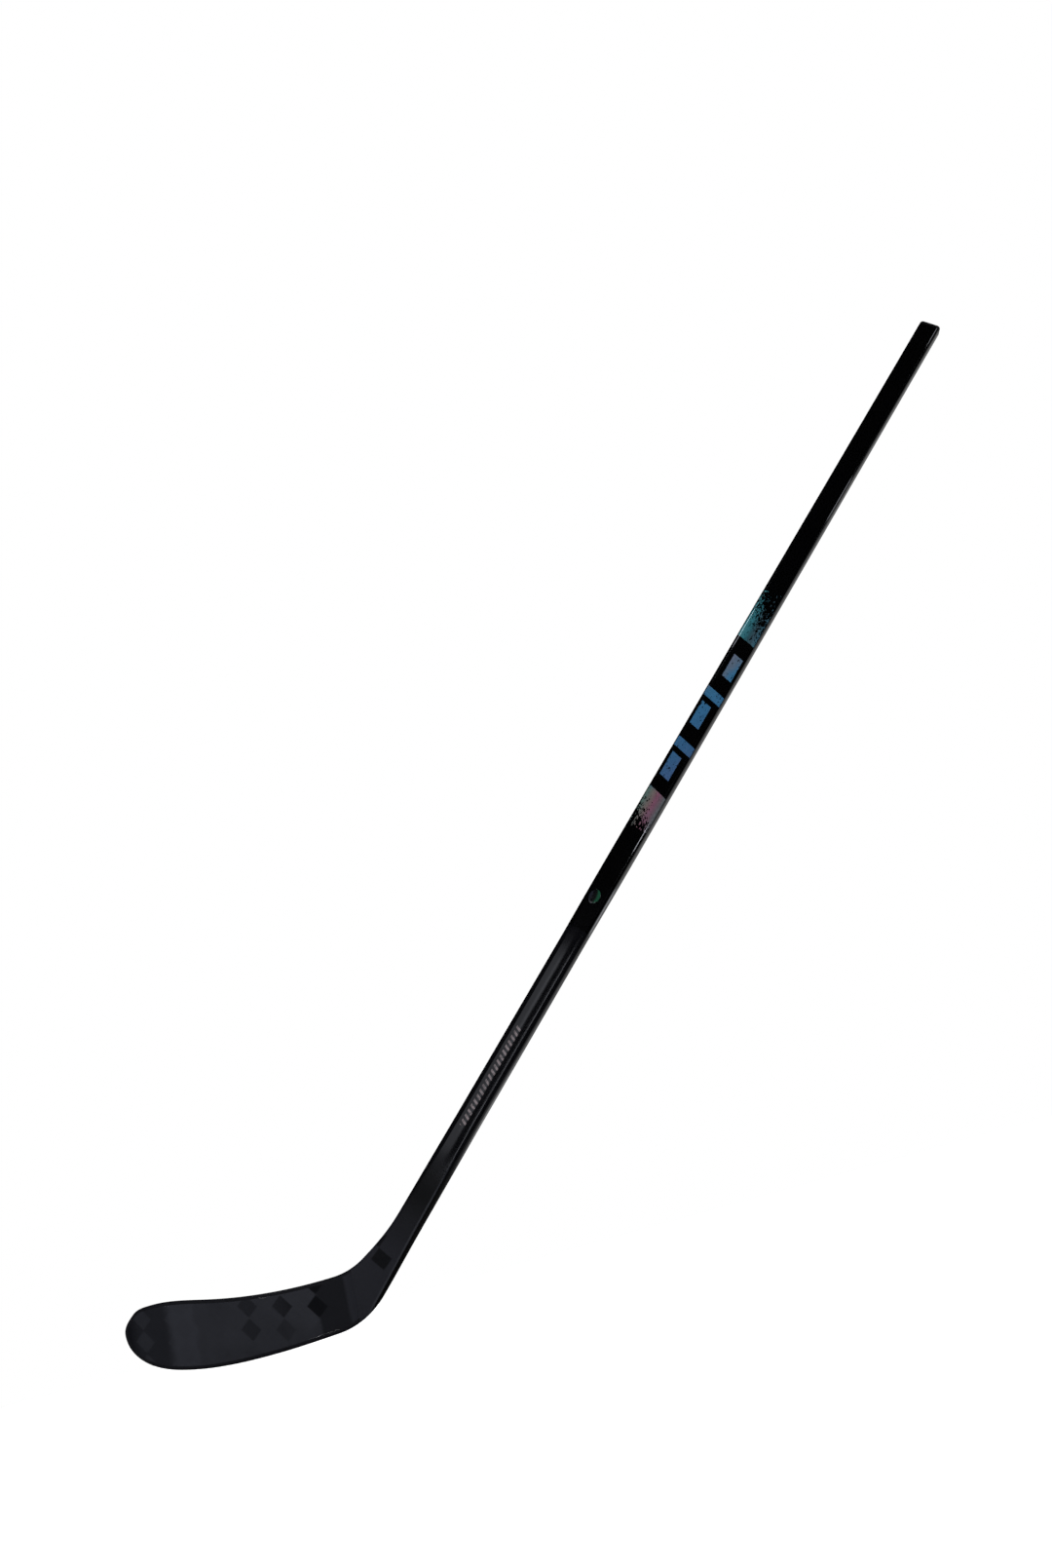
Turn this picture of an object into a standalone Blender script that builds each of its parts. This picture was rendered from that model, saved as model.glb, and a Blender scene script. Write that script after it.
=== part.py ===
"""One-piece carbon ice hockey stick, left-handed, lie 5, in metres with +Z up.

The stick is in its playing position: the sole of the blade is on the ice, the toe points to -X,
and the shaft rises towards +X at the lie angle, its section turned a little about its own axis.
The origin is in the middle of the upper hand's grip, on the shaft's axis. The parts are modelled
from the heel, where the line of the shaft's lower face meets the ice, and an empty at the heel's
place carries them all.
"""

import math

import bmesh
import bpy
from mathutils import Matrix, Vector

# ---------------------------------------------------------------- driving dimensions
GAP = 0.0003                # clearance between pieces that touch
LIE = math.radians(45.0)    # shaft to ice
LENGTH = 1.524              # heel to butt end, along the shaft
GRIP_FROM_BUTT = 0.075      # middle of the upper hand, from the butt end

# shaft: a rounded rectangle, its width close to the blade's plane and its depth across it
SHAFT_WIDTH = 0.030
SHAFT_DEPTH = 0.020
SHAFT_RADIUS = 0.005
TWIST = math.radians(5.0)   # the shaft's faces are turned about its axis from the blade's plane
WAIST_WIDTH = 0.0292        # the slimmer lower shaft, where it bends
WAIST_DEPTH = 0.0185
WAIST_TOP = 0.600           # heights along the shaft, from the heel
WAIST_FULL = 0.470
WAIST_FOOT = 0.260
JOINT = 0.120               # where the shaft tube stands on the blade's hosel
HOSEL_DEPTH = 0.0180
TUBE_WALL = 0.0018
COAT_RECESS = 0.0007        # the tube under the gloss coat is this much smaller all round
BARE_RECESS = 0.0001        # and this much below the coat, where it is bare
CORNER_STEPS = 4            # facets in each rounded corner

# layers on the shaft, as heights along it
COAT_THICKNESS = 0.0004
COAT_FOOT = 0.500
FOIL_FOOT = 0.645
FOIL_TOP = 1.020
BADGE_HEIGHT = 0.5445
BADGE_HALF_LENGTH = 0.0100  # along the shaft
BADGE_HALF_WIDTH = 0.0070
BADGE_OFFSET = -0.0026      # towards the upper narrow face
BADGE_THICKNESS = 0.0003
BADGE_SIDES = 24

# end plug
FLANGE = 0.005
FLANGE_ROUND = 0.0022
SPIGOT_LENGTH = 0.040
SPIGOT_WALL = 0.0020

# tenon and foam plug inside the lower shaft
INSIDE_INSET = TUBE_WALL + COAT_RECESS + GAP
TENON_FOOT = 0.107
TENON_TOP = 0.200
FOAM_PLUG_FOOT = 0.203
FOAM_PLUG_TOP = 0.243

# blade outline, once round from the joint's lower face by the toe to its upper face:
# x, z and the direction of travel in degrees, each stretch a smooth curve
OUTLINE_TO_TOE = [
    (0.0278, 0.0260, 224.0),
    (-0.0243, 0.0028, 183.5),
    (-0.1020, 0.0000, 180.0),
    (-0.2000, 0.0070, 169.3),
    (-0.2480, 0.0225, 150.0),
    (-0.2760, 0.0613, 90.0),
]
OUTLINE_FROM_TOE = [
    (-0.2760, 0.0613, 90.0),
    (-0.2620, 0.0799, 36.0),
    (-0.2380, 0.0843, 0.0),
    (-0.1700, 0.0739, -12.0),
    (-0.0220, 0.0602, 1.5),
    (0.0150, 0.0706, 31.0),
]
CURVE_STEPS = 6             # facets in each stretch of the outline
STATION_STEP = 0.0006       # blade sections are at least this far apart

# blade body
SEAM_X = 0.0                # hosel shell to blade skins
TOE_OFFSET = 0.062          # how far the toe is bent across, towards the forehand side
CURVE_POWER = 1.7
OPEN_FACE = math.radians(6.0)
TWIST_HEIGHT = 0.035        # the face opens about a line at this height
HEEL_DEPTH = 0.0095
MIDDLE_DEPTH = 0.0070
TOE_DEPTH = 0.0060
MIDDLE_X = -0.130
HOSEL_WALL = 0.0020
HOSEL_STEPS = 12
SKIN = 0.0009
EDGE = 0.0040               # width of the edge plies round the blade
EDGE_STEPS = 6
EDGE_ROUNDNESS = 0.8
TOE_SPLIT_X = -0.195        # sole and top edges end here and the toe edge takes over
WEB = 0.0025
RIB = 0.0030
CORE_START_X = -0.006
TIP_CUT = 0.0004            # the skins and toe core stop this short of the inset outline's tip
HEEL_CORE_START = math.radians(2.0)
HEEL_CORE_END = math.radians(32.0)

UP = Vector((math.cos(LIE), 0.0, math.sin(LIE)))        # along the shaft, heel to butt
ACROSS = Vector((math.sin(LIE), 0.0, -math.cos(LIE)))   # to the shaft's lower narrow face
SIDE = Vector((0.0, 1.0, 0.0))                          # to the forehand side
FACE_ACROSS = ACROSS * math.cos(TWIST) - SIDE * math.sin(TWIST)     # square to the narrow face
FACE_SIDE = SIDE * math.cos(TWIST) + ACROSS * math.sin(TWIST)       # square to the wide face
TOE_X = OUTLINE_TO_TOE[-1][0]


# ---------------------------------------------------------------- materials and objects
def material(name, colour, roughness, metallic=0.0):
    made = bpy.data.materials.new(name)
    made.use_nodes = True
    shader = made.node_tree.nodes["Principled BSDF"]
    shader.inputs["Base Color"].default_value = (*colour, 1.0)
    shader.inputs["Roughness"].default_value = roughness
    shader.inputs["Metallic"].default_value = metallic
    return made


def add_object(name, bm, finish, heel):
    bmesh.ops.recalc_face_normals(bm, faces=bm.faces)
    mesh = bpy.data.meshes.new(name)
    bm.to_mesh(mesh)
    bm.free()
    mesh.shade_smooth()
    mesh.set_sharp_from_angle(angle=math.radians(35.0))
    mesh.materials.append(finish)
    made = bpy.data.objects.new(name, mesh)
    bpy.context.scene.collection.objects.link(made)
    made.parent = heel
    return made


def loft(rings, closed=False):
    """A solid through rings of equal length: capped at both ends, or joined back to the first."""
    bm = bmesh.new()
    loops = [[bm.verts.new(point) for point in ring] for ring in rings]
    following = loops[1:] + loops[:1] if closed else loops[1:]
    for near, far in zip(loops, following):
        for i in range(len(near)):
            j = (i + 1) % len(near)
            bm.faces.new((near[i], near[j], far[j], far[i]))
    if not closed:
        bm.faces.new(loops[0])
        bm.faces.new(loops[-1])
    return bm


# ---------------------------------------------------------------- sections
def blend(value, low, high, at_low, at_high):
    """Goes smoothly from at_low to at_high as value goes from low to high."""
    t = min(max((value - low) / (high - low), 0.0), 1.0)
    return at_low + (at_high - at_low) * t * t * (3.0 - 2.0 * t)


def rounded_rectangle(half_width, half_depth, radius):
    points = []
    for corner in range(4):
        sign_w = 1 if corner in (0, 3) else -1
        sign_d = 1 if corner in (0, 1) else -1
        for step in range(CORNER_STEPS + 1):
            angle = math.radians(90.0) * (corner + step / CORNER_STEPS)
            points.append((
                sign_w * (half_width - radius) + radius * math.cos(angle),
                sign_d * (half_depth - radius) + radius * math.sin(angle),
            ))
    return points


def shaft_width(height):
    if height > WAIST_FULL:
        return blend(height, WAIST_FULL, WAIST_TOP, WAIST_WIDTH, SHAFT_WIDTH)
    return blend(height, JOINT, WAIST_FOOT, SHAFT_WIDTH, WAIST_WIDTH)


def shaft_depth(height):
    if height > WAIST_FULL:
        return blend(height, WAIST_FULL, WAIST_TOP, WAIST_DEPTH, SHAFT_DEPTH)
    return blend(height, JOINT, WAIST_FOOT, HOSEL_DEPTH, WAIST_DEPTH)


def shaft_point(height, across, side):
    return UP * height - ACROSS * (SHAFT_WIDTH / 2) + FACE_ACROSS * across + FACE_SIDE * side


def shaft_ring(height, inset):
    half_width = shaft_width(height) / 2 - inset
    half_depth = shaft_depth(height) / 2 - inset
    section = rounded_rectangle(half_width, half_depth, SHAFT_RADIUS - inset)
    return [shaft_point(height, across, side) for across, side in section]


def shaft_heights(low, high):
    """Heights from low to high: close together only where the section changes."""
    marks = [JOINT + (WAIST_FOOT - JOINT) * i / 4 for i in range(5)]
    marks += [WAIST_FULL + (WAIST_TOP - WAIST_FULL) * i / 4 for i in range(5)]
    inner = [mark for mark in marks if low + 0.002 < mark < high - 0.002]
    return [low, *inner, high]


def sleeve_rings(low, high, outer_inset, inner_inset):
    heights = shaft_heights(low, high)
    outside = [shaft_ring(height, outer_inset) for height in heights]
    inside = [shaft_ring(height, inner_inset) for height in reversed(heights)]
    return outside + inside


# ---------------------------------------------------------------- blade outline
def curve_stretch(start, end):
    """Points and directions on a Bezier curve that leaves start and enters end on their headings."""
    p0, p3 = Vector(start[:2]), Vector(end[:2])
    out = Vector((math.cos(math.radians(start[2])), math.sin(math.radians(start[2]))))
    into = Vector((math.cos(math.radians(end[2])), math.sin(math.radians(end[2]))))
    reach = (p3 - p0).length / (3.0 * math.cos(out.angle(into) / 4) ** 2)
    p1, p2 = p0 + out * reach, p3 - into * reach
    points = []
    for step in range(CURVE_STEPS):
        t = step / CURVE_STEPS
        s = 1.0 - t
        place = p0 * s ** 3 + p1 * (3 * s * s * t) + p2 * (3 * s * t * t) + p3 * t ** 3
        heading = (p1 - p0) * (s * s) + (p2 - p1) * (2 * s * t) + (p3 - p2) * (t * t)
        points.append((place, heading.normalized()))
    return points


def joint_corner(across, degrees):
    """Where the outline meets the shaft's edge line, across from the shaft's axis."""
    corner = UP * JOINT + ACROSS * (across - SHAFT_WIDTH / 2)
    return (corner.x, corner.z, degrees)


def outline_path(anchors):
    """The outline through the anchors as (place, inward) pairs."""
    path = []
    for start, end in zip(anchors, anchors[1:]):
        path += curve_stretch(start, end)
    last = math.radians(anchors[-1][2])
    path.append((Vector(anchors[-1][:2]), Vector((math.cos(last), math.sin(last)))))
    return [(place, Vector((heading.y, -heading.x))) for place, heading in path]


LOWER_PATH = outline_path([joint_corner(SHAFT_WIDTH / 2, 225.0), *OUTLINE_TO_TOE])
UPPER_PATH = outline_path([*OUTLINE_FROM_TOE, joint_corner(-SHAFT_WIDTH / 2, 45.0)])


def inset_path(path, inset):
    return [place + inward * inset for place, inward in path]


def place_at(path, measure, value):
    """The point of a path where measure(point) reaches value."""
    for near, far in zip(path, path[1:]):
        a, b = measure(near), measure(far)
        if min(a, b) <= value <= max(a, b) and a != b:
            return near.lerp(far, (value - a) / (b - a))
    return min(path, key=lambda point: abs(measure(point) - value))


def section_ends(inset, measure, value):
    """The points of the inset outline's lower and upper halves where measure(point) reaches value."""
    return [place_at(inset_path(path, inset), measure, value) for path in (LOWER_PATH, UPPER_PATH)]


def upright_rib(x, inset):
    """The lower and upper ends of the blade's section at x."""
    return section_ends(inset, lambda point: point.x, x)


def hosel_rib(angle, inset):
    """The ends of a section in the heel's bend, where the sections fan out from one pivot."""
    pivot = Vector((SEAM_X, JOINT / math.sin(LIE) - SEAM_X))
    return section_ends(inset, lambda point: math.atan2(point.x - pivot.x, pivot.y - point.y), angle)


# ---------------------------------------------------------------- blade body
def blade_depth(x):
    if x > MIDDLE_X:
        return blend(x, MIDDLE_X, SEAM_X, MIDDLE_DEPTH, HEEL_DEPTH)
    return blend(x, TOE_X, MIDDLE_X, TOE_DEPTH, MIDDLE_DEPTH)


def bent(x, z, side):
    """Bends a point of the flat blade: the curve towards the toe, and the opening of the face."""
    reach = max(0.0, (SEAM_X - x) / (SEAM_X - TOE_X))
    sweep = TOE_OFFSET * reach ** CURVE_POWER
    lean = (z - TWIST_HEIGHT) * math.tan(OPEN_FACE * reach)
    return Vector((x, sweep - lean + side, z))


def blade_stations(inset, start, end):
    """Section places from start to end, towards the toe, at the corners of the inset outline."""
    outline = inset_path(LOWER_PATH, inset) + inset_path(UPPER_PATH, inset)
    corners = sorted((point.x for point in outline), reverse=True)
    places = [start]
    for x in corners:
        if x < places[-1] - STATION_STEP and x > end + STATION_STEP:
            places.append(x)
    return [*places, end]


def plate(places, inset, faces, share=(0.0, 1.0), trims=(0.0, 0.0)):
    """A bent plate. faces(x) gives its two sides, share the part of the blade's height it takes,
    and trims what comes off its lower and upper ends."""
    rings = []
    for x in places:
        foot, head = upright_rib(x, inset)
        bottom = foot.y + (head.y - foot.y) * share[0] + trims[0]
        top = foot.y + (head.y - foot.y) * share[1] - trims[1]
        near, far = faces(x)
        corners = [(bottom, near), (top, near), (top, far), (bottom, far)]
        rings.append([bent(x, z, side) for z, side in corners])
    return loft(rings)


def backhand_faces(x):
    return -blade_depth(x) / 2, SKIN - blade_depth(x) / 2


def forehand_faces(x):
    return blade_depth(x) / 2 - SKIN, blade_depth(x) / 2


def core_faces(x):
    half = blade_depth(x) / 2 - SKIN - GAP
    return -half, half


def path_at(path, x):
    for (near, near_in), (far, far_in) in zip(path, path[1:]):
        if min(near.x, far.x) <= x <= max(near.x, far.x):
            t = (x - near.x) / (far.x - near.x)
            return near.lerp(far, t), near_in.lerp(far_in, t).normalized()
    raise ValueError("the outline doesn't reach this x")


def path_between(path, high, low):
    inner = [pair for pair in path if low + STATION_STEP < pair[0].x < high - STATION_STEP]
    inner.sort(key=lambda pair: -pair[0].x)
    return [path_at(path, high), *inner, path_at(path, low)]


def edge_ply(path):
    """A strip along the outline: flat where it meets the skins and core, rounded outside."""
    rings = []
    for place, inward in path:
        half = blade_depth(place.x) / 2
        section = [(EDGE, half), (EDGE, -half)]
        for step in range(EDGE_STEPS + 1):
            angle = math.pi * step / EDGE_STEPS
            section.append((half * EDGE_ROUNDNESS * (1.0 - math.sin(angle)), -half * math.cos(angle)))
        ring = []
        for depth, side in section:
            point = place + inward * depth
            ring.append(bent(min(point.x, SEAM_X - GAP), point.y, side))
        rings.append(ring)
    return loft(rings)


# ---------------------------------------------------------------- shaft pieces
def make_shaft_tube(heel):
    top = LENGTH - FLANGE - GAP
    foot = JOINT + GAP
    outside = [shaft_ring(h, BARE_RECESS) for h in shaft_heights(foot, COAT_FOOT - GAP)]
    outside += [shaft_ring(h, COAT_RECESS) for h in shaft_heights(COAT_FOOT - GAP, top)]
    inside = [shaft_ring(h, COAT_RECESS + TUBE_WALL) for h in reversed(shaft_heights(foot, top))]
    carbon = material("carbon_tube", (0.012, 0.012, 0.014), 0.32)
    add_object("shaft_tube", loft(outside + inside, closed=True), carbon, heel)


def make_sleeves(heel):
    gloss = (0.004, 0.004, 0.005)
    spans = {
        "gloss_coat_upper": (FOIL_TOP + GAP, LENGTH - FLANGE - GAP, gloss, 0.08, 0.0),
        "foil_decal": (FOIL_FOOT, FOIL_TOP, (0.03, 0.09, 0.15), 0.2, 0.7),
        "gloss_coat_lower": (COAT_FOOT, FOIL_FOOT - GAP, gloss, 0.08, 0.0),
    }
    for name, (low, high, colour, roughness, metallic) in spans.items():
        finish = material(name, colour, roughness, metallic)
        bm = loft(sleeve_rings(low, high, 0.0, COAT_THICKNESS), closed=True)
        add_object(name, bm, finish, heel)


def make_badge(heel):
    """A thin oval label on the shaft's backhand face."""
    face = -shaft_depth(BADGE_HEIGHT) / 2 - GAP
    rings = []
    for side in (face, face - BADGE_THICKNESS):
        ring = []
        for i in range(BADGE_SIDES):
            turn = math.tau * i / BADGE_SIDES
            height = BADGE_HEIGHT + BADGE_HALF_LENGTH * math.cos(turn)
            ring.append(shaft_point(height, BADGE_OFFSET + BADGE_HALF_WIDTH * math.sin(turn), side))
        rings.append(ring)
    add_object("badge_label", loft(rings), material("badge", (0.02, 0.08, 0.07), 0.3, 0.5), heel)


def make_end_plug(heel):
    """A flange as wide as the shaft and a hollow spigot, open below, that fills the tube's end."""
    under = LENGTH - FLANGE
    foot = LENGTH - SPIGOT_LENGTH
    rings = [
        shaft_ring(under, INSIDE_INSET + SPIGOT_WALL),
        shaft_ring(foot, INSIDE_INSET + SPIGOT_WALL),
        shaft_ring(foot, INSIDE_INSET),
        shaft_ring(under, INSIDE_INSET),
        shaft_ring(under, 0.0),
    ]
    for step in range(4):
        angle = math.radians(90.0) * step / 3
        height = LENGTH - FLANGE_ROUND * (1.0 - math.sin(angle))
        rings.append(shaft_ring(height, FLANGE_ROUND * (1.0 - math.cos(angle))))
    add_object("end_plug", loft(rings), material("end_plug", (0.006, 0.006, 0.007), 0.45), heel)


def make_shaft_insides(heel):
    foam = material("shaft_foam", (0.55, 0.50, 0.38), 0.9)
    plug = [shaft_ring(h, INSIDE_INSET) for h in (FOAM_PLUG_FOOT, FOAM_PLUG_TOP)]
    add_object("shaft_foam_plug", loft(plug), foam, heel)
    tenon_heights = [TENON_FOOT, *shaft_heights(JOINT, TENON_TOP)]
    tenon = [shaft_ring(h, INSIDE_INSET) for h in tenon_heights]
    add_object("tenon", loft(tenon), material("tenon", (0.015, 0.015, 0.017), 0.5), heel)


# ---------------------------------------------------------------- hosel pieces
def hosel_ring(angle, inset):
    """A section of the heel's bend. It turns about its middle, from the blade's plane to the shaft's."""
    foot, head = hosel_rib(angle, inset)
    half_depth = blend(angle, 0.0, LIE, HEEL_DEPTH, HOSEL_DEPTH) / 2 - inset
    radius = blend(angle, 0.0, LIE, HEEL_DEPTH * 0.42, SHAFT_RADIUS) - inset
    middle = (foot + head) / 2
    down = (foot - head).normalized()
    turn = blend(angle, 0.0, LIE, 0.0, TWIST)
    ring = []
    for across, side in rounded_rectangle((foot - head).length / 2, half_depth, radius):
        place = middle + down * (across * math.cos(turn) + side * math.sin(turn))
        ring.append(Vector((place.x, side * math.cos(turn) - across * math.sin(turn), place.y)))
    return ring


def make_hosel(heel):
    angles = [LIE * i / HOSEL_STEPS for i in range(HOSEL_STEPS + 1)]
    outside = [hosel_ring(angle, 0.0) for angle in angles]
    inside = [hosel_ring(angle, HOSEL_WALL) for angle in reversed(angles)]
    carbon = material("carbon_hosel", (0.014, 0.014, 0.017), 0.4)
    add_object("hosel_shell", loft(outside + inside, closed=True), carbon, heel)
    core_angles = [HEEL_CORE_START] + [a for a in angles if HEEL_CORE_START < a < HEEL_CORE_END]
    core = [hosel_ring(angle, HOSEL_WALL + GAP) for angle in core_angles]
    add_object("heel_core", loft(core), material("heel_foam", (0.60, 0.57, 0.50), 0.9), heel)


# ---------------------------------------------------------------- blade pieces
def make_skins(heel):
    inset = EDGE + GAP
    places = blade_stations(inset, SEAM_X - GAP, TOE_X + inset + TIP_CUT)
    for name, faces in {"backhand_skin": backhand_faces, "forehand_skin": forehand_faces}.items():
        carbon = material(name, (0.017, 0.018, 0.021), 0.5)
        add_object(name, plate(places, inset, faces), carbon, heel)


def make_cores(heel):
    inset = EDGE + GAP
    web_back = TOE_SPLIT_X - WEB
    middle = blade_stations(inset, CORE_START_X, TOE_SPLIT_X + GAP)
    toe = blade_stations(inset, web_back - GAP, TOE_X + inset + TIP_CUT)
    whole, none = (0.0, 1.0), (0.0, 0.0)
    clear = RIB / 2 + GAP
    foam = (0.62, 0.60, 0.54)
    carbon = (0.013, 0.013, 0.015)
    pieces = {
        "lower_core": (middle, (0.0, 0.5), (0.0, clear), foam),
        "upper_core": (middle, (0.5, 1.0), (clear, 0.0), foam),
        "blade_rib": (middle, (0.5, 0.5), (-RIB / 2, -RIB / 2), carbon),
        "toe_web": ([TOE_SPLIT_X, web_back], whole, none, carbon),
        "toe_core": (toe, whole, none, foam),
    }
    for name, (places, share, trims, colour) in pieces.items():
        solid = plate(places, inset, core_faces, share, trims)
        add_object(name, solid, material(name, colour, 0.9 if colour is foam else 0.5), heel)


def make_edges(heel):
    outline = LOWER_PATH[:-1] + UPPER_PATH
    round_toe = [pair for pair in outline if pair[0].x < TOE_SPLIT_X - STATION_STEP]
    pieces = {
        "sole_edge": path_between(LOWER_PATH, SEAM_X - GAP, TOE_SPLIT_X + GAP),
        "toe_edge": [path_at(LOWER_PATH, TOE_SPLIT_X), *round_toe, path_at(UPPER_PATH, TOE_SPLIT_X)],
        "top_edge": path_between(UPPER_PATH, SEAM_X - GAP, TOE_SPLIT_X + GAP),
    }
    for name, path in pieces.items():
        add_object(name, edge_ply(path), material(name, (0.006, 0.006, 0.007), 0.42), heel)


def main():
    for old in list(bpy.data.objects):
        bpy.data.objects.remove(old, do_unlink=True)
    heel = bpy.data.objects.new("heel_frame", None)
    heel.location = -shaft_point(LENGTH - GRIP_FROM_BUTT, 0.0, 0.0)
    bpy.context.scene.collection.objects.link(heel)
    make_end_plug(heel)
    make_shaft_tube(heel)
    make_sleeves(heel)
    make_badge(heel)
    make_shaft_insides(heel)
    make_hosel(heel)
    make_skins(heel)
    make_cores(heel)
    make_edges(heel)


main()
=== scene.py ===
# Looks of a one-piece carbon ice hockey stick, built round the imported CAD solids, in metres.
# The shaft rises at 45 degrees, the blade's sole is on the ice and the upper hand is at the origin.
# Heights run along the shaft from the heel, where its lower face meets the ice; across runs
# towards its lower narrow face, and side towards the forehand face.

import math

import bmesh
import bpy
from mathutils import Matrix, Vector


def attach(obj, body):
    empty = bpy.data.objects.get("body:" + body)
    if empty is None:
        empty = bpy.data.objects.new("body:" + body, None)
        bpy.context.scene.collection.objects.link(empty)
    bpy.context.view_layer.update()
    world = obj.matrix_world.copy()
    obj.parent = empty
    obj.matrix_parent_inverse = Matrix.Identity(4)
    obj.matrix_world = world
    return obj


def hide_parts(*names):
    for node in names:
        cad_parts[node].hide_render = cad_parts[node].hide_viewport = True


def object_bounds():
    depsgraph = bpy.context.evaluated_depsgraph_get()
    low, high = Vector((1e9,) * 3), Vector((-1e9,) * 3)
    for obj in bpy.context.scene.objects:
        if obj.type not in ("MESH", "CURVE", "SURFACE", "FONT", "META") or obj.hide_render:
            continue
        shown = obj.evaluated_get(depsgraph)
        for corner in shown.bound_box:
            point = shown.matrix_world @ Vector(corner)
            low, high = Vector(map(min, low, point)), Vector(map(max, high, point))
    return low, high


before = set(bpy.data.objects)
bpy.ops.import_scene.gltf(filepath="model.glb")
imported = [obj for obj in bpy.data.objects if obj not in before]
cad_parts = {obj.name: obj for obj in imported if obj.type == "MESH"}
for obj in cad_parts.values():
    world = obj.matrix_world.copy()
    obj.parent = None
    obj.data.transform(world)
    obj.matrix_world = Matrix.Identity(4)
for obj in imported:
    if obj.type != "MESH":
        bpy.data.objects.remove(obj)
cad_low, cad_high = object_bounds()

# ---------------------------------------------------------------- sizes shared with the CAD
LIE = math.radians(45.0)
UP = Vector((math.cos(LIE), 0.0, math.sin(LIE)))
ACROSS = Vector((math.sin(LIE), 0.0, -math.cos(LIE)))
SIDE = Vector((0.0, 1.0, 0.0))

TWIST = math.radians(5.0)   # the shaft's faces are turned about its axis from the blade's plane
FACE_ACROSS = ACROSS * math.cos(TWIST) - SIDE * math.sin(TWIST)
FACE_SIDE = SIDE * math.cos(TWIST) + ACROSS * math.sin(TWIST)

SHAFT_WIDTH = 0.030
SHAFT_DEPTH = 0.020
SHAFT_RADIUS = 0.005
WAIST_WIDTH = 0.0292
WAIST_DEPTH = 0.0185
WAIST_TOP = 0.600
WAIST_FULL = 0.470
WAIST_FOOT = 0.260
JOINT = 0.120
HOSEL_DEPTH = 0.0180
GRIP_FROM_BUTT = 0.075

ICE = cad_low.z
HAND_HEIGHT = -(ICE + math.cos(LIE) * SHAFT_WIDTH / 2) / math.sin(LIE)
LENGTH = HAND_HEIGHT + GRIP_FROM_BUTT
SHAFT_FOOT = -UP * HAND_HEIGHT                    # the shaft's axis beside the heel
HEEL = SHAFT_FOOT + ACROSS * (SHAFT_WIDTH / 2)

COAT_THICKNESS = 0.0004
COAT_FOOT = 0.500
FOIL_FOOT = 0.645
FOIL_TOP = 1.020
TUBE_WALL = 0.0018
COAT_RECESS = 0.0007
BARE_RECESS = 0.0001
BORE_EASE = 0.00015         # the shown bore is this much wider, clear of the straight-sided foam and tenon
FIT = 0.00003               # clearance left between shown pieces that meet

FLANGE = 0.005
FLANGE_ROUND = 0.0022
SPIGOT_LENGTH = 0.040
SPIGOT_WALL = 0.0020
SPIGOT_INSET = TUBE_WALL + COAT_RECESS + 0.0003

OUTLINE_TO_TOE = [
    (0.0278, 0.0260, 224.0),
    (-0.0243, 0.0028, 183.5),
    (-0.1020, 0.0000, 180.0),
    (-0.2000, 0.0070, 169.3),
    (-0.2480, 0.0225, 150.0),
    (-0.2760, 0.0613, 90.0),
]
OUTLINE_FROM_TOE = [
    (-0.2760, 0.0613, 90.0),
    (-0.2620, 0.0799, 36.0),
    (-0.2380, 0.0843, 0.0),
    (-0.1700, 0.0739, -12.0),
    (-0.0220, 0.0602, 1.5),
    (0.0150, 0.0706, 31.0),
]
SEAM_X = 0.0
TOE_X = OUTLINE_TO_TOE[-1][0]
TOE_OFFSET = 0.062
CURVE_POWER = 1.7
OPEN_FACE = math.radians(6.0)
TWIST_HEIGHT = 0.035
HEEL_DEPTH = 0.0095
MIDDLE_DEPTH = 0.0070
TOE_DEPTH = 0.0060
MIDDLE_X = -0.130
TOE_SPLIT_X = -0.195
HOSEL_WALL = 0.0020
SKIN = 0.0009
EDGE = 0.0040
EDGE_ROUNDNESS = 0.8

# ---------------------------------------------------------------- fineness of the shown meshes
CORNER_STEPS = 10
WIDE_STEPS = 12
NARROW_STEPS = 4
RING_STEP = 0.012
CURVE_STEPS = 24
HOSEL_STEPS = 40
SKIN_STEPS = 110
SKIN_COLUMNS = 8
EDGE_STEPS = 14


# ---------------------------------------------------------------- sections of the shaft
def blend(value, low, high, at_low, at_high):
    """Goes smoothly from at_low to at_high as value goes from low to high."""
    t = min(max((value - low) / (high - low), 0.0), 1.0)
    return at_low + (at_high - at_low) * t * t * (3.0 - 2.0 * t)


def shaft_width(height):
    if height > WAIST_FULL:
        return blend(height, WAIST_FULL, WAIST_TOP, WAIST_WIDTH, SHAFT_WIDTH)
    return blend(height, JOINT, WAIST_FOOT, SHAFT_WIDTH, WAIST_WIDTH)


def shaft_depth(height):
    if height > WAIST_FULL:
        return blend(height, WAIST_FULL, WAIST_TOP, WAIST_DEPTH, SHAFT_DEPTH)
    return blend(height, JOINT, WAIST_FOOT, HOSEL_DEPTH, WAIST_DEPTH)


def shaft_crown(height):
    """How far the wide faces fall away from their middle line to their corners."""
    if height > WAIST_FULL:
        return blend(height, WAIST_FULL, WAIST_TOP, 0.0006, 0.00015)
    return blend(height, JOINT, WAIST_FOOT, 0.0002, 0.0006)


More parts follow.
